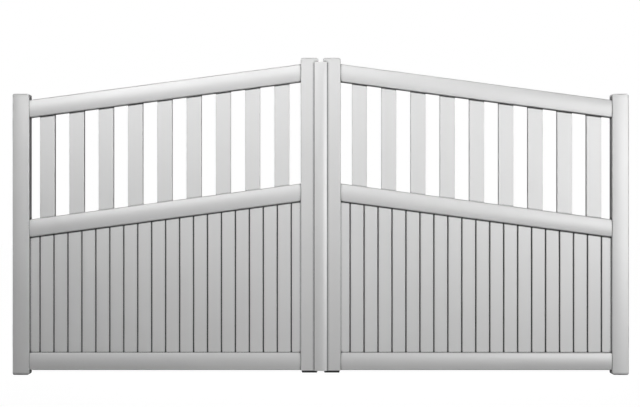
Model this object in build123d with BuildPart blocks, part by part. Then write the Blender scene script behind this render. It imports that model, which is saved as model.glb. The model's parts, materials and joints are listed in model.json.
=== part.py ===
"""Aluminium double swing gate, driveway size, in millimetres.

Two leaves hang between masonry piers and open inwards, towards +Y.
Each leaf is a welded frame of hollow extrusions: a domed hinge stile, a flat
meeting stile and three domed rails. The middle and top rails climb together
towards the centre. Vertical pickets stand between those two, and tongue and
groove boards fill the lower part. The right leaf carries the cover strip that
closes the gap between the meeting stiles from outside.

X runs across the opening, from the left pier's face at 0.
Y runs inwards, and Z runs up.
The origin is the middle of the left lower hinge's wall face.
"""

from math import ceil, cos, radians, sin
import os

from build123d import *

# Opening and frame outline
opening_width = 3540.0
side_gap = 20.0
meeting_gap = 27.0
ground_to_lower_hinge = 210.0
upper_hinge_drop = 161.7

# Frame extrusions
frame_depth = 50.0
frame_wall = 2.0
hinge_stile_width = 97.0
meeting_stile_width = 100.0
rail_height = 100.0
front_dome = 4.5
rail_setback = 4.5
front_corner = 7.5
back_corner = 4.0
flat_corner = 5.0
stile_rise_over_rail = 34.0

# Rail heights above the hinge stile's foot
top_rail_height_at_hinge = 1561.7
rail_climb = 203.8
mid_rail_drop = 679.0
bottom_rail_ground_gap = 26.0

# Infill
infill_recess = 20.0
infill_thickness = 22.0
infill_wall = 1.3
infill_fit = 0.3
seat_depth = 12.0
picket_count = 9
picket_width = 85.0
picket_gap_at_hinge = 55.0
picket_gap_at_meeting = 65.0
picket_corner = 2.0
board_pitch = 79.5
first_board_width = 54.5
board_joint = 3.0
board_chamfer = 4.5
tongue_thickness = 8.0
tongue_reach = 8.0
tongue_fit = 0.4

# End caps and feet
cap_height = 17.0
cap_hollow = 10.0
cap_shoulder = 14.0
cap_edge = 7.0
plug_depth = 14.0
plug_wall = 2.5
plug_fit = 0.3
foot_height = 13.5
foot_inset = 6.0
foot_corner = 6.0
foot_chamfer = 3.0

# Cover strip
strip_width = 70.0
strip_top_drop = 25.0
strip_standoff = 5.5
strip_edge = 4.0
strip_crown = 9.0
strip_wall = 1.5
strip_pad_width = 17.0

# Hinges
plate_thickness = 6.0
plate_depth = 76.0
plate_height = 140.0
plate_corner = 8.0
plate_behind_front = 64.0
anchor_hole = 11.0
anchor_spacing_y = 44.0
anchor_spacing_z = 100.0
lug_thickness = 12.0
lug_nose = 15.0
lug_root = 42.0
pin_diameter = 16.0
pin_from_pier = 44.0
pin_behind_back = 22.0
pin_fit = 0.3
pin_over_knuckle = 4.0
pin_tip_chamfer = 1.5
knuckle_height = 44.0
knuckle_diameter = 28.0
washer_thickness = 2.0
washer_diameter = 27.0
running_gap = 0.4
strap_thickness = 6.0
strap_width = 70.0
strap_height = 130.0
strap_lift = 5.0
web_width = 30.0

# Places along X, on the left leaf
centre_x = opening_width / 2
hinge_stile_x = side_gap
infill_start = side_gap + hinge_stile_width
meeting_stile_x = centre_x - meeting_gap / 2 - meeting_stile_width
infill_width = meeting_stile_x - infill_start
hinge_stile_mid = hinge_stile_x + hinge_stile_width / 2
meeting_stile_mid = meeting_stile_x + meeting_stile_width / 2

# Places along Y
front_y = -plate_behind_front - plate_depth / 2
back_y = front_y + frame_depth
frame_mid_y = front_y + frame_depth / 2
infill_y = front_y + infill_recess + infill_thickness / 2
pin_y = back_y + pin_behind_back

# Places along Z
foot_z = -ground_to_lower_hinge
bottom_rail_z = foot_z + bottom_rail_ground_gap
top_rail_z = foot_z + top_rail_height_at_hinge
mid_rail_z = top_rail_z - mid_rail_drop
meeting_top_z = top_rail_z + rail_climb + stile_rise_over_rail
hinge_top_z = top_rail_z + stile_rise_over_rail
upper_hinge_z = top_rail_z - upper_hinge_drop
slope = rail_climb / infill_width
slope_angle = Vector(infill_width, rail_climb).get_angle(Vector(1, 0))
upright_rail_height = rail_height / cos(radians(slope_angle))
upright_seat = (seat_depth - frame_wall) / cos(radians(slope_angle))

centre_plane = Plane.YZ.offset(centre_x)
leaf = {}


def rail_profile(top_channel=False, bottom_channel=False):
    """Hollow rail section: X is the depth, Y the height, the front is domed."""
    half_depth = frame_depth / 2
    half_height = rail_height / 2
    crown = -half_depth + rail_setback
    edge = crown + front_dome
    with BuildSketch() as section:
        with BuildLine():
            Polyline(
                (edge, half_height),
                (half_depth, half_height),
                (half_depth, -half_height),
                (edge, -half_height),
            )
            ThreePointArc((edge, -half_height), (crown, 0), (edge, half_height))
        make_face()
        fillet(section.vertices().group_by(Axis.X)[-1], back_corner)
        fillet(section.vertices().group_by(Axis.X)[0], front_corner)
        offset(amount=-frame_wall, mode=Mode.SUBTRACT)
        for wanted, way in ((top_channel, 1), (bottom_channel, -1)):
            if wanted:
                channel = infill_thickness + 2 * infill_fit
                depth = seat_depth + frame_wall
                with Locations((infill_y - frame_mid_y, way * (half_height - depth / 2))):
                    Rectangle(channel + 2 * frame_wall, depth)
                with Locations((infill_y - frame_mid_y, way * (half_height - seat_depth / 2))):
                    Rectangle(channel, seat_depth, mode=Mode.SUBTRACT)
    return section.sketch


def hinge_stile_outline(inset=0):
    """Plan of the hinge stile: flat back and sides, domed front."""
    half_width = hinge_stile_width / 2
    half_depth = frame_depth / 2
    with BuildSketch() as outline:
        with BuildLine():
            Polyline(
                (-half_width, -half_depth + front_dome),
                (-half_width, half_depth),
                (half_width, half_depth),
                (half_width, -half_depth + front_dome),
            )
            ThreePointArc(
                (half_width, -half_depth + front_dome),
                (0, -half_depth),
                (-half_width, -half_depth + front_dome),
            )
        make_face()
        fillet(outline.vertices().group_by(Axis.Y)[-1], back_corner)
        fillet(outline.vertices().group_by(Axis.Y)[0], front_corner)
        if inset:
            offset(amount=-inset)
    return outline.sketch


def meeting_stile_outline(inset=0):
    """Plan of the meeting stile: a flat tube with rounded corners."""
    with BuildSketch() as outline:
        RectangleRounded(
            meeting_stile_width - 2 * inset, frame_depth - 2 * inset, flat_corner - inset
        )
    return outline.sketch


def stile(outline, mid_x, low_z, high_z):
    """Upright tube between two heights."""
    with BuildPart() as tube:
        with BuildSketch(Plane((mid_x, frame_mid_y, low_z))):
            add(outline())
            add(outline(frame_wall), mode=Mode.SUBTRACT)
        extrude(amount=high_z - low_z)
    return tube


def end_cap(outline, width, mid_x, seat_z, way):
    """Cap with rounded shoulders on a tube's end, plugged into the tube."""
    with BuildPart() as cap:
        with BuildSketch(Plane((mid_x, frame_mid_y, seat_z))):
            add(outline())
        extrude(amount=way * cap_height)
        with BuildSketch(Plane.XZ.offset(-frame_mid_y)):
            with Locations((mid_x, seat_z)):
                RectangleRounded(width, 2 * cap_height, cap_shoulder)
        extrude(amount=frame_depth, both=True, mode=Mode.INTERSECT)
        with BuildSketch(Plane.YZ.offset(mid_x)):
            with Locations((frame_mid_y, seat_z)):
                RectangleRounded(frame_depth, 2 * cap_height, cap_edge)
        extrude(amount=width, both=True, mode=Mode.INTERSECT)
        with BuildSketch(Plane((mid_x, frame_mid_y, seat_z))):
            add(outline(frame_wall + plug_fit))
        extrude(amount=-way * plug_depth)
        with BuildSketch(Plane((mid_x, frame_mid_y, seat_z - way * plug_depth))):
            add(outline(frame_wall + plug_fit + plug_wall))
        extrude(amount=way * (plug_depth + cap_hollow), mode=Mode.SUBTRACT)
    return cap


# Stiles
hinge_low_z = foot_z + cap_height
hinge_high_z = hinge_top_z - cap_height
meeting_high_z = meeting_top_z - cap_height
leaf["hinge_stile"] = stile(hinge_stile_outline, hinge_stile_mid, hinge_low_z, hinge_high_z)
leaf["meeting_stile"] = stile(
    meeting_stile_outline, meeting_stile_mid, bottom_rail_z, meeting_high_z
)

# Caps
leaf["hinge_stile_top_cap"] = end_cap(
    hinge_stile_outline, hinge_stile_width, hinge_stile_mid, hinge_high_z, 1
)
leaf["hinge_stile_bottom_cap"] = end_cap(
    hinge_stile_outline, hinge_stile_width, hinge_stile_mid, hinge_low_z, -1
)
leaf["meeting_stile_top_cap"] = end_cap(
    meeting_stile_outline, meeting_stile_width, meeting_stile_mid, meeting_high_z, 1
)

# Foot pad under the meeting stile
foot_width = meeting_stile_width - 2 * foot_inset
foot_depth = frame_depth - 2 * foot_inset
with BuildPart() as foot:
    with BuildSketch(Plane((meeting_stile_mid, frame_mid_y, bottom_rail_z))):
        RectangleRounded(foot_width, foot_depth, foot_corner)
    extrude(amount=-foot_height)
    chamfer(foot.faces().sort_by(Axis.Z)[0].edges(), foot_chamfer)
    with BuildSketch(Plane((meeting_stile_mid, frame_mid_y, bottom_rail_z))):
        add(meeting_stile_outline(frame_wall + plug_fit))
    extrude(amount=plug_depth)
    with BuildSketch(Plane((meeting_stile_mid, frame_mid_y, bottom_rail_z + plug_wall))):
        add(meeting_stile_outline(frame_wall + plug_fit + plug_wall))
    extrude(amount=plug_depth - plug_wall, mode=Mode.SUBTRACT)
leaf["meeting_stile_foot"] = foot


def sloped_rail(section, top_z):
    """Rail along the slope, cut upright where it meets the two stiles."""
    along = Vector(cos(radians(slope_angle)), 0, sin(radians(slope_angle)))
    across = Vector(-along.Z, 0, along.X)
    start = Vector(infill_start, frame_mid_y, top_z) - across * (rail_height / 2)
    run = infill_width / along.X
    with BuildPart() as rail:
        with BuildSketch(Plane(start - along * rail_height, x_dir=(0, 1, 0), z_dir=along)):
            add(section)
        extrude(amount=run + 2 * rail_height)
        split(bisect_by=Plane.YZ.offset(infill_start), keep=Keep.TOP)
        split(bisect_by=Plane.YZ.offset(infill_start + infill_width), keep=Keep.BOTTOM)
    return rail


def punch_picket_slots(rail, wall_z):
    """Upright slots for the pickets through one wall of a sloped rail."""
    reach = rail_height / 2
    with BuildPart() as slotted:
        add(rail.part)
        with Locations([(x, infill_y, wall_z + slope * (x - infill_start)) for x in picket_x]):
            Box(
                picket_width + 2 * infill_fit,
                infill_thickness + 2 * infill_fit,
                reach,
                mode=Mode.SUBTRACT,
            )
    return slotted


# Rails
first_picket_x = infill_start + picket_gap_at_hinge + picket_width / 2
last_picket_x = infill_start + infill_width - picket_gap_at_meeting - picket_width / 2
picket_pitch = (last_picket_x - first_picket_x) / (picket_count - 1)
picket_x = [first_picket_x + picket_pitch * number for number in range(picket_count)]
top_rail_under_z = top_rail_z - upright_rail_height
mid_rail_under_z = mid_rail_z - upright_rail_height
plain_top_rail = sloped_rail(rail_profile(), top_rail_z)
plain_mid_rail = sloped_rail(rail_profile(bottom_channel=True), mid_rail_z)
leaf["top_rail"] = punch_picket_slots(plain_top_rail, top_rail_under_z)
leaf["mid_rail"] = punch_picket_slots(plain_mid_rail, mid_rail_z)

with BuildPart() as bottom_rail:
    rail_mid_z = bottom_rail_z + rail_height / 2
    with BuildSketch(Plane((infill_start, frame_mid_y, rail_mid_z), x_dir=(0, 1, 0), z_dir=(1, 0, 0))):
        add(rail_profile(top_channel=True))
    extrude(amount=infill_width)
leaf["bottom_rail"] = bottom_rail


def infill_limit(low_start, low_end, high_start, high_end):
    """Front view of the space that the infill stands in, as a face in XZ."""
    end_x = infill_start + infill_width
    with BuildSketch(Plane.XZ) as limit:
        with BuildLine():
            Polyline(
                (infill_start, low_start),
                (end_x, low_end),
                (end_x, high_end),
                (infill_start, high_start),
                close=True,
            )
        make_face()
    return limit.sketch


# Pickets
picket_low_z = mid_rail_z - upright_seat
picket_high_z = top_rail_under_z + upright_seat
with BuildPart() as pickets:
    with BuildSketch(Plane((0, infill_y, picket_low_z))):
        with Locations([(x, 0) for x in picket_x]):
            RectangleRounded(picket_width, infill_thickness, picket_corner)
            Rectangle(
                picket_width - 2 * infill_wall,
                infill_thickness - 2 * infill_wall,
                mode=Mode.SUBTRACT,
            )
    extrude(amount=picket_high_z - picket_low_z + rail_climb)
    extrude(
        infill_limit(picket_low_z, picket_low_z + rail_climb, picket_high_z, picket_high_z + rail_climb),
        amount=opening_width,
        both=True,
        mode=Mode.INTERSECT,
    )
leaf["pickets"] = pickets


def board_section(left_x, right_x, grooved, tongued):
    """Plan of one hollow board, with chamfers, groove and tongue at its joints."""
    front = -infill_thickness / 2
    back = infill_thickness / 2
    tongue = tongue_thickness / 2
    groove = tongue + tongue_fit
    groove_reach = tongue_reach + tongue_fit
    tongue_length = tongue_reach + board_joint
    cavity_front = front + infill_wall
    cavity_back = back - infill_wall
    left_points = [(left_x, back), (left_x, front)]
    right_points = [(right_x, front), (right_x, back)]
    cavity_left = left_x + infill_wall
    cavity_right = right_x - infill_wall
    if grooved:
        left_points = [
            (left_x + board_chamfer, back),
            (left_x, back - board_chamfer),
            (left_x, groove),
            (left_x + groove_reach, groove),
            (left_x + groove_reach, -groove),
            (left_x, -groove),
            (left_x, front + board_chamfer),
            (left_x + board_chamfer, front),
        ]
        cavity_left = left_x + groove_reach + infill_wall
    if tongued:
        right_points = [
            (right_x - board_chamfer, front),
            (right_x, front + board_chamfer),
            (right_x, -tongue),
            (right_x + tongue_length, -tongue),
            (right_x + tongue_length, tongue),
            (right_x, tongue),
            (right_x, back - board_chamfer),
            (right_x - board_chamfer, back),
        ]
    with BuildSketch() as section:
        with BuildLine():
            Polyline(*left_points, *right_points, close=True)
        make_face()
        with BuildLine():
            Polyline(
                (cavity_left, cavity_front),
                (cavity_right - board_chamfer, cavity_front),
                (cavity_right, cavity_front + board_chamfer),
                (cavity_right, cavity_back - board_chamfer),
                (cavity_right - board_chamfer, cavity_back),
                (cavity_left, cavity_back),
                close=True,
            )
        make_face(mode=Mode.SUBTRACT)
    return section.sketch


# Boards
board_low_z = bottom_rail_z + rail_height - seat_depth
board_high_z = mid_rail_under_z + upright_seat
board_count = ceil((infill_width - first_board_width) / board_pitch) + 1
board_edges = [infill_start + infill_fit - board_joint / 2]
board_edges += [
    infill_start + first_board_width + board_pitch * number for number in range(board_count - 1)
]
board_edges += [infill_start + infill_width - infill_fit + board_joint / 2]
with BuildPart() as boards:
    with BuildSketch(Plane((0, infill_y, board_low_z))):
        for number in range(board_count):
            add(
                board_section(
                    board_edges[number] + board_joint / 2,
                    board_edges[number + 1] - board_joint / 2,
                    grooved=number > 0,
                    tongued=number < board_count - 1,
                )
            )
    extrude(amount=board_high_z - board_low_z + rail_climb)
    extrude(
        infill_limit(board_low_z, board_low_z, board_high_z, board_high_z + rail_climb),
        amount=opening_width,
        both=True,
        mode=Mode.INTERSECT,
    )
leaf["boards"] = boards


def wall_hinge(mid_z):
    """Plate for the pier's reveal, with a lug and an upright pin."""
    with BuildPart() as hinge:
        with BuildSketch(Plane.YZ):
            with Locations((0, mid_z)):
                RectangleRounded(plate_depth, plate_height, plate_corner)
                with GridLocations(anchor_spacing_y, anchor_spacing_z, 2, 2):
                    Circle(anchor_hole / 2, mode=Mode.SUBTRACT)
        extrude(amount=plate_thickness)
        with BuildSketch(Plane.XY.offset(mid_z - lug_thickness / 2)):
            with Locations((pin_from_pier, pin_y)):
                Circle(lug_nose)
            with BuildLine():
                Line(
                    (plate_thickness, pin_y - lug_nose),
                    (plate_thickness, pin_y - lug_nose + lug_root),
                )
            make_hull()
        extrude(amount=lug_thickness)
        with BuildSketch(Plane.XY.offset(mid_z)):
            with Locations((pin_from_pier, pin_y)):
                Circle(pin_diameter / 2)
        pin_length = lug_thickness / 2 + washer_thickness + running_gap
        extrude(amount=pin_length + knuckle_height + pin_over_knuckle)
        chamfer(hinge.edges().filter_by(GeomType.CIRCLE).sort_by(Axis.Z)[-1], pin_tip_chamfer)
    return hinge


def hinge_washer(mid_z):
    """Bearing washer between the lug and the knuckle."""
    with BuildPart() as washer:
        with BuildSketch(Plane((pin_from_pier, pin_y, mid_z + lug_thickness / 2))):
            Circle(washer_diameter / 2)
            Circle(pin_diameter / 2 + pin_fit, mode=Mode.SUBTRACT)
        extrude(amount=washer_thickness)
    return washer


def hinge_strap(mid_z):
    """Strap on the stile's back, with a web and a knuckle that turns on the pin."""
    knuckle_z = mid_z + lug_thickness / 2 + washer_thickness + running_gap
    strap_y = back_y + strap_thickness
    strap_x = pin_from_pier - web_width / 2
    with BuildPart() as strap:
        with BuildSketch(Plane.XZ.offset(-back_y)):
            with Locations((strap_x, knuckle_z + strap_lift)):
                corner = (Align.MIN, Align.MIN)
                RectangleRounded(strap_width, strap_height, plate_corner, align=corner)
        extrude(amount=-strap_thickness)
        with BuildSketch(Plane.XY.offset(knuckle_z + strap_lift)):
            with Locations((pin_from_pier, pin_y)):
                Circle(knuckle_diameter / 2)
            with BuildLine():
                Line((strap_x, strap_y), (strap_x + web_width, strap_y))
            make_hull()
        extrude(amount=knuckle_height - strap_lift)
        with BuildSketch(Plane.XY.offset(knuckle_z)):
            with Locations((pin_from_pier, pin_y)):
                Circle(knuckle_diameter / 2)
        extrude(amount=knuckle_height)
        with BuildSketch(Plane.XY.offset(knuckle_z)):
            with Locations((pin_from_pier, pin_y)):
                Circle(pin_diameter / 2 + pin_fit)
        extrude(amount=knuckle_height, mode=Mode.SUBTRACT)
    return strap


# Hinges
hinge_levels = {"lower": 0, "upper": upper_hinge_z}
wall_side = {}
for level, level_z in hinge_levels.items():
    wall_side[level + "_wall_hinge"] = wall_hinge(level_z)
    wall_side[level + "_hinge_washer"] = hinge_washer(level_z)
    leaf[level + "_hinge_strap"] = hinge_strap(level_z)

# Cover strip on the right leaf, outside both meeting stiles
half_strip = strip_width / 2
strip_back = -strip_standoff
strip_side = strip_back - strip_edge
strip_front = strip_back - strip_crown
cavity_half = half_strip - strip_edge - strip_wall
with BuildPart() as cover_strip:
    with BuildSketch(Plane((centre_x, front_y, bottom_rail_z))):
        with BuildLine():
            Polyline(
                (-half_strip, strip_side),
                (-half_strip, strip_back),
                (half_strip, strip_back),
                (half_strip, strip_side),
            )
            ThreePointArc((half_strip, strip_side), (0, strip_front), (-half_strip, strip_side))
        make_face()
        with BuildLine():
            Line((-cavity_half, strip_back - strip_wall), (cavity_half, strip_back - strip_wall))
            ThreePointArc(
                (cavity_half, strip_back - strip_wall),
                (0, strip_front + strip_wall),
                (-cavity_half, strip_back - strip_wall),
            )
        make_face(mode=Mode.SUBTRACT)
        with Locations((half_strip, strip_back)):
            Rectangle(strip_pad_width, strip_standoff, align=(Align.MAX, Align.MIN))
    extrude(amount=meeting_top_z - strip_top_drop - bottom_rail_z)

# Write the left side, and its mirror image on the right
os.makedirs("parts", exist_ok=True)
for name, piece in {**wall_side, **leaf}.items():
    with BuildPart() as twin:
        mirror(piece.part, about=centre_plane)
    piece.part.label = "left_" + name
    twin.part.label = "right_" + name
    export_step(piece.part, "parts/left_" + name + ".step")
    export_step(twin.part, "parts/right_" + name + ".step")

cover_strip.part.label = "right_cover_strip"
export_step(cover_strip.part, "parts/right_cover_strip.step")
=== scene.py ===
# %% [markdown]
# # A double swing gate in light grey coated aluminium
#
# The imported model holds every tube, board and hinge at its real size.
# This lesson dresses it: a satin powder coat for the aluminium, zinc for the
# hinge irons, black plastic for the feet, and the fasteners that hold the
# hinges. Then it lights the gate softly and looks at it from the front.

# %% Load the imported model
import json
from math import pi, radians, sin, cos

import bpy
import numpy as np
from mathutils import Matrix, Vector


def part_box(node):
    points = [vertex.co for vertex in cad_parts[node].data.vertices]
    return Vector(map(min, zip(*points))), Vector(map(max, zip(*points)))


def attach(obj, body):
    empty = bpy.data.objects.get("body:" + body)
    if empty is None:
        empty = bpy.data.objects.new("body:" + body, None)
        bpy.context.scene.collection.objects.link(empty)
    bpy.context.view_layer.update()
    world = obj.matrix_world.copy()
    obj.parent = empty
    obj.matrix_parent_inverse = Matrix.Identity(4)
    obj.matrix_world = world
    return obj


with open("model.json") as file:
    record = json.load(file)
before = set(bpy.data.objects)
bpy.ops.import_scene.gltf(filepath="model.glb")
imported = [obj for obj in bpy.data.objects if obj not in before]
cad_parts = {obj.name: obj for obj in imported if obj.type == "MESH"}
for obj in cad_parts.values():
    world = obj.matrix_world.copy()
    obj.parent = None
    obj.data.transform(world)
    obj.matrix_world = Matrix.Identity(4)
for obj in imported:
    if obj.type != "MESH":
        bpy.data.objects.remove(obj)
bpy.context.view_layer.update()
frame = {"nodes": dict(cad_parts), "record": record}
nodes = frame["nodes"]

# %% [markdown]
# ## Where things are
#
# The gate's own boxes give every place that this script needs, so nothing is
# measured twice. X runs across the opening, Y inwards and Z up. The front of
# the gate faces -Y, and the ground is level with the hinge stiles' feet.

# %% Read the gate's main planes
left_stile_low, left_stile_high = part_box("left_hinge_stile")
right_stile_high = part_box("right_hinge_stile")[1]
gate_middle = (left_stile_low.x + right_stile_high.x) / 2
front_plane = left_stile_low.y
back_plane = left_stile_high.y
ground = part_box("left_hinge_stile_bottom_cap")[0].z
print("middle", round(gate_middle, 4), "front", round(front_plane, 4), "ground", round(ground, 4))

# %% [markdown]
# ## The camera
#
# The picture is taken square on, at about chest height, with the lens level:
# the stiles stay upright and parallel. The distance follows from the lens and
# from how much of the picture the gate fills.

# %% Place the camera
image_width = 640
lens_mm = 50.0
sensor_mm = 36.0
metres_per_pixel = 0.00567
camera_distance = metres_per_pixel * image_width * lens_mm / sensor_mm
camera_aside = -0.0039
eye_height = 0.973

camera_data = bpy.data.cameras.new("front_camera")
camera_data.lens = lens_mm
camera_data.sensor_width = sensor_mm
camera = bpy.data.objects.new("front_camera", camera_data)
camera.location = (
    gate_middle + camera_aside,
    front_plane - camera_distance,
    ground + eye_height,
)
camera.rotation_euler = (pi / 2, 0, 0)
bpy.context.scene.collection.objects.link(camera)
bpy.context.scene.camera = camera
print("camera stands", round(camera_distance, 3), "m before the gate")

# %% [markdown]
# ## A small helper for shader maths
#
# A material is a graph of nodes. Writing `1 - mask` is easier to read than
# placing Math nodes by hand, so this class wraps a socket and adds a Math node
# for each operator. One function makes every other kind of node.

# %% Wrap sockets so that they can be calculated with


class Wire:
    """A node's output socket that can be used in arithmetic."""

    def __init__(self, tree, socket):
        self.tree = tree
        self.socket = socket

    def math(self, operation, first, second=None):
        """Add one Math node for an operation on one or two values."""
        made = self.tree.nodes.new("ShaderNodeMath")
        made.operation = operation
        connect(self.tree, made.inputs[0], first)
        if second is not None:
            connect(self.tree, made.inputs[1], second)
        return Wire(self.tree, made.outputs[0])

    def __add__(self, other):
        return self.math("ADD", self, other)

    def __radd__(self, other):
        return self.math("ADD", other, self)

    def __sub__(self, other):
        return self.math("SUBTRACT", self, other)

    def __rsub__(self, other):
        return self.math("SUBTRACT", other, self)

    def __mul__(self, other):
        return self.math("MULTIPLY", self, other)

    def __rmul__(self, other):
        return self.math("MULTIPLY", other, self)

    def __truediv__(self, other):
        return self.math("DIVIDE", self, other)

    def __lt__(self, other):
        return self.math("LESS_THAN", self, other)

    def __abs__(self):
        return self.math("ABSOLUTE", self)

    def fraction(self):
        """What is left over after the whole numbers are taken away."""
        return self.math("FRACT", self)

    def between(self, low, high):
        """0 below the low value, 1 above the high one, a ramp in between."""
        settings = {"clamp": True}
        kind = "ShaderNodeMapRange"
        return make_node(self.tree, kind, settings, i0=self, i1=low, i2=high, i3=0.0, i4=1.0)

    def dot(self, direction):
        """Length of this vector along a fixed direction."""
        return make_node(
            self.tree,
            "ShaderNodeVectorMath",
            {"operation": "DOT_PRODUCT"},
            output=1,
            i0=self,
            i1=direction,
        )


def connect(tree, socket, value):
    """Link a wire to a socket, or set the socket's own value."""
    if isinstance(value, Wire):
        tree.links.new(value.socket, socket)
    else:
        socket.default_value = value


def make_node(tree, kind, settings=None, output=0, **inputs):
    """Make a node of any type and return one of its outputs as a wire."""
    made = tree.nodes.new(kind)
    for name, value in (settings or {}).items():
        setattr(made, name, value)
    for name, value in inputs.items():
        slot = int(name[1:]) if name[1:].isdigit() else name.replace("_", " ")
        connect(tree, made.inputs[slot], value)
    return Wire(tree, made.outputs[output])


print("wires can be added, multiplied and compared")

# %% [markdown]
# ## A finish
#
# Each finish is a Principled BSDF. What is the same all over is set on the
# shader itself. Only colour, roughness, metal and bump vary over the surface,
# and they read Object coordinates, which are metres here.

# %% Start a finish


def new_finish(name, **fixed):
    """Make a material with a Principled BSDF and set its even values."""
    material = bpy.data.materials.new(name)
    material.use_nodes = True
    tree = material.node_tree
    shader = tree.nodes["Principled BSDF"]
    for socket, value in fixed.items():
        shader.inputs[socket.replace("_", " ")].default_value = value
    place = make_node(tree, "ShaderNodeTexCoord", output=3)
    return material, tree, shader, place


def tone(level, tint=0.0):
    """An opaque grey, a little bluer or yellower by the tint."""
    return (level * (1 - tint), level, level * (1 + tint), 1.0)


def blend_colour(tree, factor, first, second):
    """Mix two colours by a factor."""
    return make_node(
        tree,
        "ShaderNodeMix",
        {"data_type": "RGBA"},
        output=2,
        Factor=factor,
        i6=first,
        i7=second,
    )


def noise(tree, vector, scale, detail=2.0, roughness=0.5):
    """Smooth noise between 0 and 1, with so many bumps a metre."""
    return make_node(
        tree,
        "ShaderNodeTexNoise",
        Vector=vector,
        Scale=scale,
        Detail=detail,
        Roughness=roughness,
    )


print("a finish can be started, toned and blended")

# %% [markdown]
# ## Powder coat on extruded aluminium
#
# The profiles leave the press with fine die lines along their length, and the
# powder melts over them into a satin film. Seen close, the film has an orange
# peel: ripples about a millimetre across and a few microns deep. Its grey is
# even, with a faint cloudiness over a hand's width where the film is thicker.
#
# The powder carries a little aluminium flake, which gives a soft sheen that is
# much the same from every side. So the coat is a small share metal here, and
# has no clear gloss over it.
#
# Narrow corners get painted shade. An ambient occlusion node tells how much
# air is open to a point within a short reach, and the colour goes nearly to
# black where little is.
#
# The lines need to know which way a profile runs. Two dot products split a
# point into its length along the profile and its place across it, and a noise
# that is stretched along the first makes the lines.

# %% Mix the powder coat
flake_share = 0.06
corner_reach = 0.016
painted_corner_shade = 0.06
cloud_per_metre = 4.0
cloud_swing = 0.02
cloud_weight = 0.8
cloud_gloss = 0.08
peel_per_metre = 900.0
peel_depth = 0.0002
peel_weight = 0.6
line_per_metre = 420.0
line_stretch = 0.004
line_gloss = 0.06


def powder_coat(name, level, roughness, along=(0, 0, 1), corner_light=(0.58, 0.93)):
    """Satin powder coat of one grey, on a profile that runs along a direction.

    Where less than the first share of air is open to a point, the painted shade
    is full. Where more than the second share is open, there is none.
    """
    material, tree, shader, place = new_finish(
        name, Roughness=roughness, Metallic=flake_share, Specular_IOR_Level=0.0
    )
    across = (along[2], 0, -along[0])
    profile_place = make_node(
        tree,
        "ShaderNodeCombineXYZ",
        X=place.dot(across),
        Y=place.dot((0, 1, 0)),
        Z=place.dot(along) * line_stretch,
    )
    cloud = noise(tree, place, cloud_per_metre, 3.0, 0.55)
    lines = noise(tree, profile_place, line_per_metre, 1.0)
    peel = noise(tree, place, peel_per_metre, 1.0)
    thin = tone(level * (1 - cloud_swing))
    thick = tone(level * (1 + cloud_swing))
    swing = cloud * cloud_weight + lines * (1 - cloud_weight)
    colour = blend_colour(tree, swing, thin, thick)
    # Painted shade: the colour goes nearly black where little air is open nearby.
    shelter = make_node(
        tree, "ShaderNodeAmbientOcclusion", {"samples": 6}, output=1, Distance=corner_reach
    )
    corner_unshaded = shelter.between(*corner_light)
    colour = blend_colour(tree, corner_unshaded, tone(level * painted_corner_shade), colour)
    connect(tree, shader.inputs["Base Color"], colour)
    gloss = roughness + (cloud - 0.5) * cloud_gloss + (lines - 0.5) * line_gloss
    connect(tree, shader.inputs["Roughness"], gloss)
    height = peel * peel_weight + lines * (1 - peel_weight)
    bump = make_node(
        tree, "ShaderNodeBump", Height=height, Strength=0.08, Distance=peel_depth
    )
    connect(tree, shader.inputs["Normal"], bump)
    return material, tree, shader, place


rail_low, rail_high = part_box("left_top_rail")
rail_run = rail_high.x - rail_low.x
rail_height = 0.1
rail_slope = (rail_high.z - rail_low.z - rail_height) / rail_run
climb = Vector((1, 0, rail_slope)).normalized()
frame_grey = 0.63
frame_gloss = 0.42
frame_coat = powder_coat("frame_coat_upright", frame_grey, frame_gloss)[0]
level_coat = powder_coat("frame_coat_level", frame_grey, frame_gloss, (1, 0, 0))[0]
left_coat = powder_coat(
    "frame_coat_climbing", frame_grey, frame_gloss, (climb.x, 0, climb.z)
)[0]
right_coat = powder_coat(
    "frame_coat_falling", frame_grey, frame_gloss, (climb.x, 0, -climb.z)
)[0]
cap_coat = powder_coat("cap_coat", 0.62, 0.46)[0]
infill_light = (0.40, 0.74)
picket_finish = powder_coat("picket_coat", 0.66, 0.45, corner_light=infill_light)
picket_coat = picket_finish[0]
print("rails climb", round(rail_slope, 4), "m a metre")

# %% [markdown]
# ## Painted shade in the board joints
#
# The boards share the coat, and each joint's colour is painted nearly black as
# shade, so the joints read as dark lines. A joint is found by counting board
# widths from the first one. Half a board is added, so the fraction that is left
# over is a half on a joint, and how far it lies from a half tells how far the
# joint is. Forty whole boards are added too, which keeps the count above zero.
# The right leaf mirrors the left, so the count goes by the distance from the
# gate's middle and serves both.

# %% Darken the joints between boards
board_count = 40
board_pitch = 0.0795
edge_board = 0.0545
first_joint = gate_middle - left_stile_high.x - edge_board
joint_half = 0.0027
joint_shade_grey = 0.04

board_finish = powder_coat("board_coat", 0.65, 0.45, corner_light=infill_light)
board_coat, board_tree, board_shader, board_place = board_finish
from_middle = abs(board_place.dot((1, 0, 0)) - gate_middle)
turn = ((from_middle - first_joint) / board_pitch + (board_count + 0.5)).fraction()
from_joint = abs(turn - 0.5) * board_pitch
in_joint = from_joint < joint_half
unshaded_colour = Wire(board_tree, board_shader.inputs["Base Color"].links[0].from_socket)
# Painted shade: the joint's colour is nearly black.
joint_colour = blend_colour(board_tree, in_joint, unshaded_colour, tone(joint_shade_grey))
connect(board_tree, board_shader.inputs["Base Color"], joint_colour)
print("board joints every", board_pitch, "m")

# %% [markdown]
# ## Painted shade under the climbing rails
#
# Boards and pickets stand in slots in the rails' lower edges. Little light
# gets to their last centimetre, so shade is painted there as a dark line.
# The edge climbs with the rail, so the line follows how far a point
# lies below the sloping edge.

# %% Darken what stands close under a climbing rail
shade_full = 0.0045
shade_end = 0.0100
shade_grey = 0.05


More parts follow.
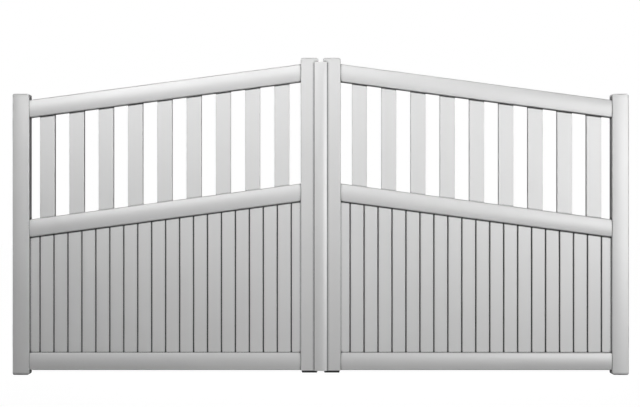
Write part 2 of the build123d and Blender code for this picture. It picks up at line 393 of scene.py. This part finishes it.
def shade_under(finish, rail):
    """Darken a coat over a few millimetres under a rail's sloping lower edge."""
    tree, shader, place = finish[1:]
    from_middle = abs(place.dot((1, 0, 0)) - gate_middle)
    climbed = rail_slope * (gate_middle - left_stile_high.x - from_middle)
    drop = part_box(rail)[0].z + climbed - place.dot((0, 0, 1))
    unshaded = Wire(tree, shader.inputs["Base Color"].links[0].from_socket)
    # Painted shadow: the colour goes dark just under the rail's lower edge.
    light = drop.between(shade_full, shade_end)
    connect(tree, shader.inputs["Base Color"], blend_colour(tree, light, tone(shade_grey), unshaded))
    print("shade under", rail)


shade_under(board_finish, "left_mid_rail")
shade_under(picket_finish, "left_top_rail")

# %% [markdown]
# ## Zinc on the hinge irons
#
# Hot dipped zinc freezes into flat crystals, the spangle, about a centimetre
# across. Each crystal has its own grey and its own gloss. A Voronoi texture
# gives one random number to each cell, and fine noise dulls it all.

# %% Mix the zinc
crystals_per_metre = 110.0
dulling_per_metre = 60.0
zinc, zinc_tree, zinc_shader, zinc_place = new_finish("hot_dipped_zinc", Metallic=0.85)
crystal = make_node(
    zinc_tree,
    "ShaderNodeTexVoronoi",
    output=1,
    Vector=zinc_place,
    Scale=crystals_per_metre,
)
crystal_level = crystal.dot((1, 0, 0))
zinc_dull = noise(zinc_tree, zinc_place, dulling_per_metre, 4.0, 0.6)
zinc_colour = blend_colour(
    zinc_tree, crystal_level * 0.6 + zinc_dull * 0.4, tone(0.44, 0.02), tone(0.62, 0.02)
)
connect(zinc_tree, zinc_shader.inputs["Base Color"], zinc_colour)
zinc_gloss = 0.34 + crystal_level * 0.14 + zinc_dull * 0.12
connect(zinc_tree, zinc_shader.inputs["Roughness"], zinc_gloss)
zinc_bump = make_node(
    zinc_tree, "ShaderNodeBump", Height=zinc_dull, Strength=0.2, Distance=0.0003
)
connect(zinc_tree, zinc_shader.inputs["Normal"], zinc_bump)
print("zinc crystals about", round(1000 / crystals_per_metre), "mm across")

# %% [markdown]
# ## Moulded plastic and rubber
#
# The feet, the washers in the hinges and the lip behind the cover strip are
# moulded. The mould's sparked walls leave a fine grain, and the melt leaves a
# slow flow in the colour. One function makes all three.

# %% Mix the plastics and the rubber


def moulded_plastic(name, dark, light, roughness, grain):
    """Moulded plastic with a fine sparked grain of so many grains a metre."""
    material, tree, shader, place = new_finish(
        name, Roughness=roughness, Specular_IOR_Level=0.25
    )
    grains = noise(tree, place, grain, 2.0)
    flow = noise(tree, place, 25.0, 2.0)
    connect(tree, shader.inputs["Base Color"], blend_colour(tree, flow, dark, light))
    connect(tree, shader.inputs["Roughness"], roughness + (grains - 0.5) * 0.12)
    bump = make_node(tree, "ShaderNodeBump", Height=grains, Strength=0.25, Distance=0.0003)
    connect(tree, shader.inputs["Normal"], bump)
    return material


foot_plastic = moulded_plastic("foot_plastic_black", tone(0.012), tone(0.022), 0.5, 1400.0)
seal_rubber = moulded_plastic("seal_rubber_black", tone(0.010), tone(0.018), 0.65, 900.0)
bearing_plastic = moulded_plastic(
    "bearing_nylon", tone(0.78, -0.02), tone(0.86, -0.02), 0.4, 700.0
)
print("plastics", foot_plastic.name, seal_rubber.name, bearing_plastic.name)

# %% [markdown]
# ## Plated fasteners
#
# Screws and anchors are electroplated: brighter and smoother than the hinge
# irons, with fine tool marks.

# %% Mix the plating
plating, plating_tree, plating_shader, plating_place = new_finish("bright_plating", Metallic=1.0)
marks = noise(plating_tree, plating_place, 1600.0, 3.0, 0.6)
stain = noise(plating_tree, plating_place, 90.0, 2.0)
connect(
    plating_tree,
    plating_shader.inputs["Base Color"],
    blend_colour(plating_tree, stain, tone(0.52, 0.01), tone(0.68, 0.01)),
)
connect(plating_tree, plating_shader.inputs["Roughness"], 0.24 + marks * 0.12 + stain * 0.08)
plating_bump = make_node(
    plating_tree, "ShaderNodeBump", Height=marks, Strength=0.15, Distance=0.0001
)
connect(plating_tree, plating_shader.inputs["Normal"], plating_bump)
print("plating", plating.name)

# %% [markdown]
# ## Which node wears which finish
#
# The record names a material slot for every node. Rails and boards need a
# finish that knows their direction or their joints, so they are named one by
# one. The coated nodes also go into a collection, because some lamps below
# shine on them alone.

# %% Give each node its finish
finish_of_slot = {
    "frame_aluminium": frame_coat,
    "infill_aluminium": picket_coat,
    "cap_aluminium": cap_coat,
    "galvanised_steel": zinc,
    "bearing_plastic": bearing_plastic,
    "foot_plastic": foot_plastic,
}
finish_of_node = {
    "left_boards": board_coat,
    "right_boards": board_coat,
    "left_top_rail": left_coat,
    "left_mid_rail": left_coat,
    "right_top_rail": right_coat,
    "right_mid_rail": right_coat,
    "left_bottom_rail": level_coat,
    "right_bottom_rail": level_coat,
}
coated = bpy.data.collections.new("coated")
for part in frame["record"]["subparts"]:
    finish = finish_of_node.get(part["node"], finish_of_slot[part["material_slot"]])
    slots = nodes[part["node"]].data.materials
    slots.clear()
    slots.append(finish)
    if part["material_slot"].endswith("aluminium"):
        coated.objects.link(nodes[part["node"]])

# %% [markdown]
# ## Turned pieces
#
# Bolts, screws, washers and clips are all turned about an axis. Each is a grid:
# rows step along a profile, columns go round. A row may be round or hexagonal,
# so that one formula makes a washer, a bolt head and a socket.

# %% Work out turned surfaces with numpy
sharp_degrees = 32
columns = 36
round_angles = np.arange(columns) * 2 * pi / columns
hex_factor = 1 / np.cos((round_angles % (pi / 3)) - pi / 6)


def turned(rows, centre, axis):
    """Turn a profile about an axis that starts at a centre.

    A row is (radius, height, hexagonal). The point at angle a is
    centre + height * axis + r(a) * (cos a * side + sin a * other), where r(a)
    is the radius, or radius / cos(a mod 60 - 30 degrees) on a hexagonal row.
    Returns the points and the faces, which close both ends.
    """
    axis = np.array(axis, float)
    side = np.array((0, 0, 1.0)) if abs(axis[2]) < 0.5 else np.array((1.0, 0, 0))
    other = np.cross(axis, side)
    profile = np.array(rows, float)
    ring = np.outer(np.cos(round_angles), side) + np.outer(np.sin(round_angles), other)
    reach = profile[:, :1] * np.where(profile[:, 2:3] > 0, hex_factor, 1.0)
    points = (
        np.array(centre, float)
        + profile[:, 1, None, None] * axis
        + reach[:, :, None] * ring[None]
    ).reshape(-1, 3)
    start = np.arange(len(profile) - 1)[:, None] * columns
    here = np.arange(columns)[None]
    after = (here + 1) % columns
    quads = np.stack(
        (start + here, start + after, start + columns + after, start + columns + here), axis=-1
    ).reshape(-1, 4)
    first = np.arange(columns)[::-1]
    last = np.arange(columns) + (len(profile) - 1) * columns
    return points, quads.tolist() + [first.tolist(), last.tolist()]


def piece(name, shapes, body, material, smooth=True):
    """Join shapes into one object that rides on a body."""
    points, faces, offset = [], [], 0
    for shape_points, shape_faces in shapes:
        points.append(shape_points)
        faces += [[corner + offset for corner in face] for face in shape_faces]
        offset += len(shape_points)
    mesh = bpy.data.meshes.new(name)
    mesh.from_pydata(np.concatenate(points).tolist(), [], faces)
    mesh.polygons.foreach_set("use_smooth", [smooth] * len(mesh.polygons))
    mesh.set_sharp_from_angle(angle=radians(sharp_degrees))
    made = bpy.data.objects.new(name, mesh)
    bpy.context.scene.collection.objects.link(made)
    mesh.materials.append(material)
    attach(made, body)
    print(name, len(mesh.polygons), "faces")


print("turned shapes have", columns, "columns")

# %% [markdown]
# ## Anchors in the wall plates
#
# Each plate is held by four ten millimetre anchors: a plain washer and a
# hexagon head with its corners turned off. They stand in the plate's four
# holes, on the side that faces the gate.

# %% Put the anchors in
plate_face = 0.006
anchor_aside = 0.022
anchor_up = 0.05
washer_rows = [
    (0.0000, 0.0001, 0),
    (0.0100, 0.0001, 0),
    (0.0104, 0.0004, 0),
    (0.0104, 0.0016, 0),
    (0.0100, 0.0020, 0),
    (0.0000, 0.0020, 0),
]
bolt_rows = [
    (0.0050, 0.0015, 0),
    (0.0081, 0.0021, 0),
    (0.0085, 0.0022, 1),
    (0.0085, 0.0078, 1),
    (0.0080, 0.0085, 0),
    (0.0040, 0.0086, 0),
]
anchors, anchor_washers = [], []
for plate in ("left_lower", "left_upper", "right_lower", "right_upper"):
    low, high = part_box(plate + "_wall_hinge")
    on_left = low.x < gate_middle
    axis = (1, 0, 0) if on_left else (-1, 0, 0)
    face_x = low.x + plate_face if on_left else high.x - plate_face
    plate_z = (low.z + high.z) / 2
    for aside in (-anchor_aside, anchor_aside):
        for up in (-anchor_up, anchor_up):
            place = (face_x, aside, plate_z + up)
            anchor_washers.append(turned(washer_rows, place, axis))
            anchors.append(turned(bolt_rows, place, axis))
piece("wall_anchor_washers", anchor_washers, "wall_hinges", plating)
piece("wall_anchor_bolts", anchors, "wall_hinges", plating)

# %% [markdown]
# ## Screws in the straps and clips on the pins
#
# The straps are fixed to the stiles with low domed screws with a hexagon
# socket. The socket is part of the same turned grid: its rows are hexagonal,
# and they go down before the dome begins. A push-on clip keeps each knuckle on
# its pin.

# %% Put the screws and clips in
strap_thickness = 0.006
strap_drop = 0.130
pin_x = 0.044
pin_y = -0.03
knuckle_height = 0.044
screw_rows = [
    (0.0010, 0.0012, 0),
    (0.0021, 0.0012, 1),
    (0.0021, 0.0034, 1),
    (0.0026, 0.0036, 0),
    (0.0042, 0.0033, 0),
    (0.0055, 0.0026, 0),
    (0.0064, 0.0015, 0),
    (0.0067, 0.0004, 0),
    (0.0067, -0.0004, 0),
]
screw_places = [(0.014, 0.112), (0.056, 0.112), (0.014, 0.066), (0.056, 0.066), (0.056, 0.018)]
clip_rows = [
    (0.0082, 0.0001, 0),
    (0.0118, 0.0001, 0),
    (0.0122, 0.0005, 0),
    (0.0118, 0.0012, 0),
    (0.0092, 0.0022, 0),
    (0.0082, 0.0024, 0),
]
clips = []
for hand in ("left", "right"):
    screws = []
    for level in ("lower", "upper"):
        low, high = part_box(hand + "_" + level + "_hinge_strap")
        for aside, up in screw_places:
            x = low.x + aside if hand == "left" else high.x - aside
            place = (x, back_plane + strap_thickness, high.z - strap_drop + up)
            screws.append(turned(screw_rows[::-1], place, (0, 1, 0)))
        clip_x = pin_x if hand == "left" else 2 * gate_middle - pin_x
        clip_place = (clip_x, pin_y, low.z + knuckle_height)
        clips.append(turned(clip_rows, clip_place, (0, 0, 1)))
    piece(hand + "_strap_screws", screws, hand + "_leaf", plating)
piece("pin_clips", clips, "wall_hinges", plating)

# %% [markdown]
# ## Seal under the cover strip
#
# The strip overlaps the left leaf without touching it. A soft rubber lip
# under its left edge closes the gap. It is one small profile drawn in plan
# and carried upwards.

# %% Draw the seal
strip_low, strip_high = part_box("right_cover_strip")
seal_inset = 0.003
seal_reach = 0.0055
seal_end = 0.002


def upright(outline, low, high):
    """Carry a closed outline in plan from one height to another.

    The point at corner (x, y) and height h is (x, y, h). Each side of the
    outline gives one upright face, and the outline itself closes both ends.
    """
    count = len(outline)
    flat = np.array(outline, float)
    points = np.concatenate(
        [np.column_stack((flat, np.full(count, level))) for level in (low, high)]
    )
    here = np.arange(count)
    after = (here + 1) % count
    sides = np.stack((here, after, after + count, here + count), axis=-1).tolist()
    return points, sides + [here[::-1].tolist(), (here + count).tolist()]


seal_x = strip_low.x + seal_inset
seal_y = front_plane - seal_reach
seal_outline = [
    (seal_x, seal_y + 0.0038),
    (seal_x + 0.0008, seal_y),
    (seal_x + 0.0085, seal_y),
    (seal_x + 0.0085, seal_y + 0.0012),
    (seal_x + 0.0030, seal_y + 0.0016),
    (seal_x + 0.0014, seal_y + 0.0040),
]
seal_shape = upright(seal_outline, strip_low.z + seal_end, strip_high.z - seal_end)
piece("strip_seal", [seal_shape], "right_leaf", seal_rubber, smooth=False)

# %% [markdown]
# ## White paper and white air
#
# The gate is seen on plain white. The floor is pale paper that keeps a faint
# shadow. To the camera, and in reflections, the floor and the world are white,
# while the light that they give off stays low, so that the edges stay crisp.

# %% Floor and world


def seen_directly(tree):
    """1 for camera rays, reflections and light through glass, 0 for the rest."""
    path = tree.nodes.new("ShaderNodeLightPath")
    rays = ("Is Camera Ray", "Is Glossy Ray", "Is Transmission Ray")
    camera_ray, glossy_ray, through_ray = (Wire(tree, path.outputs[ray]) for ray in rays)
    return camera_ray + glossy_ray + through_ray


floor_half = 15.0
paper_pale = 0.80
paper_unseen = 0.06
glow_strength = 1.13
glow_share = 0.85
ambient = 0.04
corners = [(-1, -1), (1, -1), (1, 1), (-1, 1)]
floor_mesh = bpy.data.meshes.new("floor")
floor_mesh.from_pydata(
    [(gate_middle + x * floor_half, front_plane + y * floor_half, ground) for x, y in corners],
    [],
    [(0, 1, 2, 3)],
)
floor = bpy.data.objects.new("floor", floor_mesh)
bpy.context.scene.collection.objects.link(floor)

paper = bpy.data.materials.new("white_paper")
paper.use_nodes = True
paper_tree = paper.node_tree
paper_tree.nodes.clear()
paper_seen = seen_directly(paper_tree)
paper_colour = paper_unseen + paper_seen * (paper_pale - paper_unseen)
paper_lit = make_node(paper_tree, "ShaderNodeBsdfDiffuse", Color=paper_colour)
paper_glow = make_node(
    paper_tree, "ShaderNodeEmission", Color=tone(1.0), Strength=glow_strength
)
paper_mix = make_node(
    paper_tree,
    "ShaderNodeMixShader",
    i0=paper_seen * glow_share,
    i1=paper_lit,
    i2=paper_glow,
)
paper_output = paper_tree.nodes.new("ShaderNodeOutputMaterial")
connect(paper_tree, paper_output.inputs["Surface"], paper_mix)
floor_mesh.materials.append(paper)

world = bpy.data.worlds.new("studio")
bpy.context.scene.world = world
world.use_nodes = True
sky = world.node_tree
sky.nodes.clear()
background = make_node(
    sky,
    "ShaderNodeBackground",
    Color=tone(1.0),
    Strength=ambient + seen_directly(sky) * (1 - ambient),
)
sky_output = sky.nodes.new("ShaderNodeOutputWorld")
connect(sky, sky_output.inputs["Surface"], background)
print("floor", 2 * floor_half, "m square, ambient light", ambient)

# %% [markdown]
# ## Lamps
#
# The gate is brightest at its top and on its right. A far key light hangs high
# behind the camera and is aimed at the right leaf. A narrower cone from the
# same place is aimed above the gate's top. Both fade towards their edges, and
# a soft sun from the front fills in what they leave.
#
# Large panels give the coat its sheen. They shine on the coated pieces alone
# and show only as reflections. A sun behind the gate and two weak ones at its
# sides keep the back and the edges readable.

# %% Hang the lamps


def hang(data, name, place, target):
    """Hang a lamp at a place and turn its -Z axis to a target."""
    lamp = bpy.data.objects.new(name, data)
    lamp.location = place
    way = Vector(target) - Vector(place)
    lamp.rotation_euler = way.to_track_quat("-Z", "Y").to_euler()
    bpy.context.scene.collection.objects.link(lamp)
    return lamp


def spot(name, place, target, power, cone, radius):
    """A far spot whose light fades towards the edge of its cone."""
    data = bpy.data.lights.new(name, "SPOT")
    data.energy = power
    data.spot_size = radians(cone)
    data.spot_blend = 1.0
    data.shadow_soft_size = radius
    return hang(data, name, place, target)


def panel(name, place, target, radiance, width, height):
    """A soft rectangular lamp that only shows as a sheen on coated pieces."""
    data = bpy.data.lights.new(name, "AREA")
    data.shape = "RECTANGLE"
    data.size = width
    data.size_y = height
    data.energy = radiance * width * height * pi
    lamp = hang(data, name, place, target)
    lamp.visible_diffuse = False
    lamp.visible_camera = False
    lamp.light_linking.receiver_collection = coated
    return lamp


def sun(name, strength, azimuth, elevation, spread):
    """A distant lamp that shines from an azimuth, counted right of the camera."""
    data = bpy.data.lights.new(name, "SUN")
    data.energy = strength
    data.angle = radians(spread)
    way = Vector((sin(radians(azimuth)), -cos(radians(azimuth)), sin(radians(elevation))))
    return hang(data, name, way * 10, (0, 0, 0))


key_target = (gate_middle + 1.4, front_plane, ground + 1.7)
key_place = (gate_middle, front_plane - 14, ground + 6.5)
spot("key", key_place, key_target, 1360, 34, 0.6)
top_target = (gate_middle - 0.3, front_plane, ground + 2.8)
spot("top", key_place, top_target, 2650, 24, 0.6)
sun("front", 0.98, 0, 25, 10)
gate_centre = (gate_middle, front_plane, ground + 0.95)
panel_away = 9.0
panel_side = 4.0
sheens = {
    "left_low": (-4, 1, 2.0),
    "left_high": (-4, 5, 27.0),
    "right_low": (4, 1, 18.5),
    "far_right": (8, 1, 50.0),
}
for name, (aside, up, radiance) in sheens.items():
    place = (gate_middle + aside, front_plane - panel_away, ground + up)
    panel("sheen_" + name, place, gate_centre, radiance, panel_side, panel_side)
sun("back", 1.5, 183, 12, 15)
sun("right_side", 0.3, 91, 4, 3)
sun("left_side", 0.3, -92, 4, 3)
print("lamps", len(bpy.data.lights))

# %% [markdown]
# ## The end
#
# Colours are shown as they are, with the Standard view.

# %% Finish
bpy.context.scene.view_settings.view_transform = "Standard"
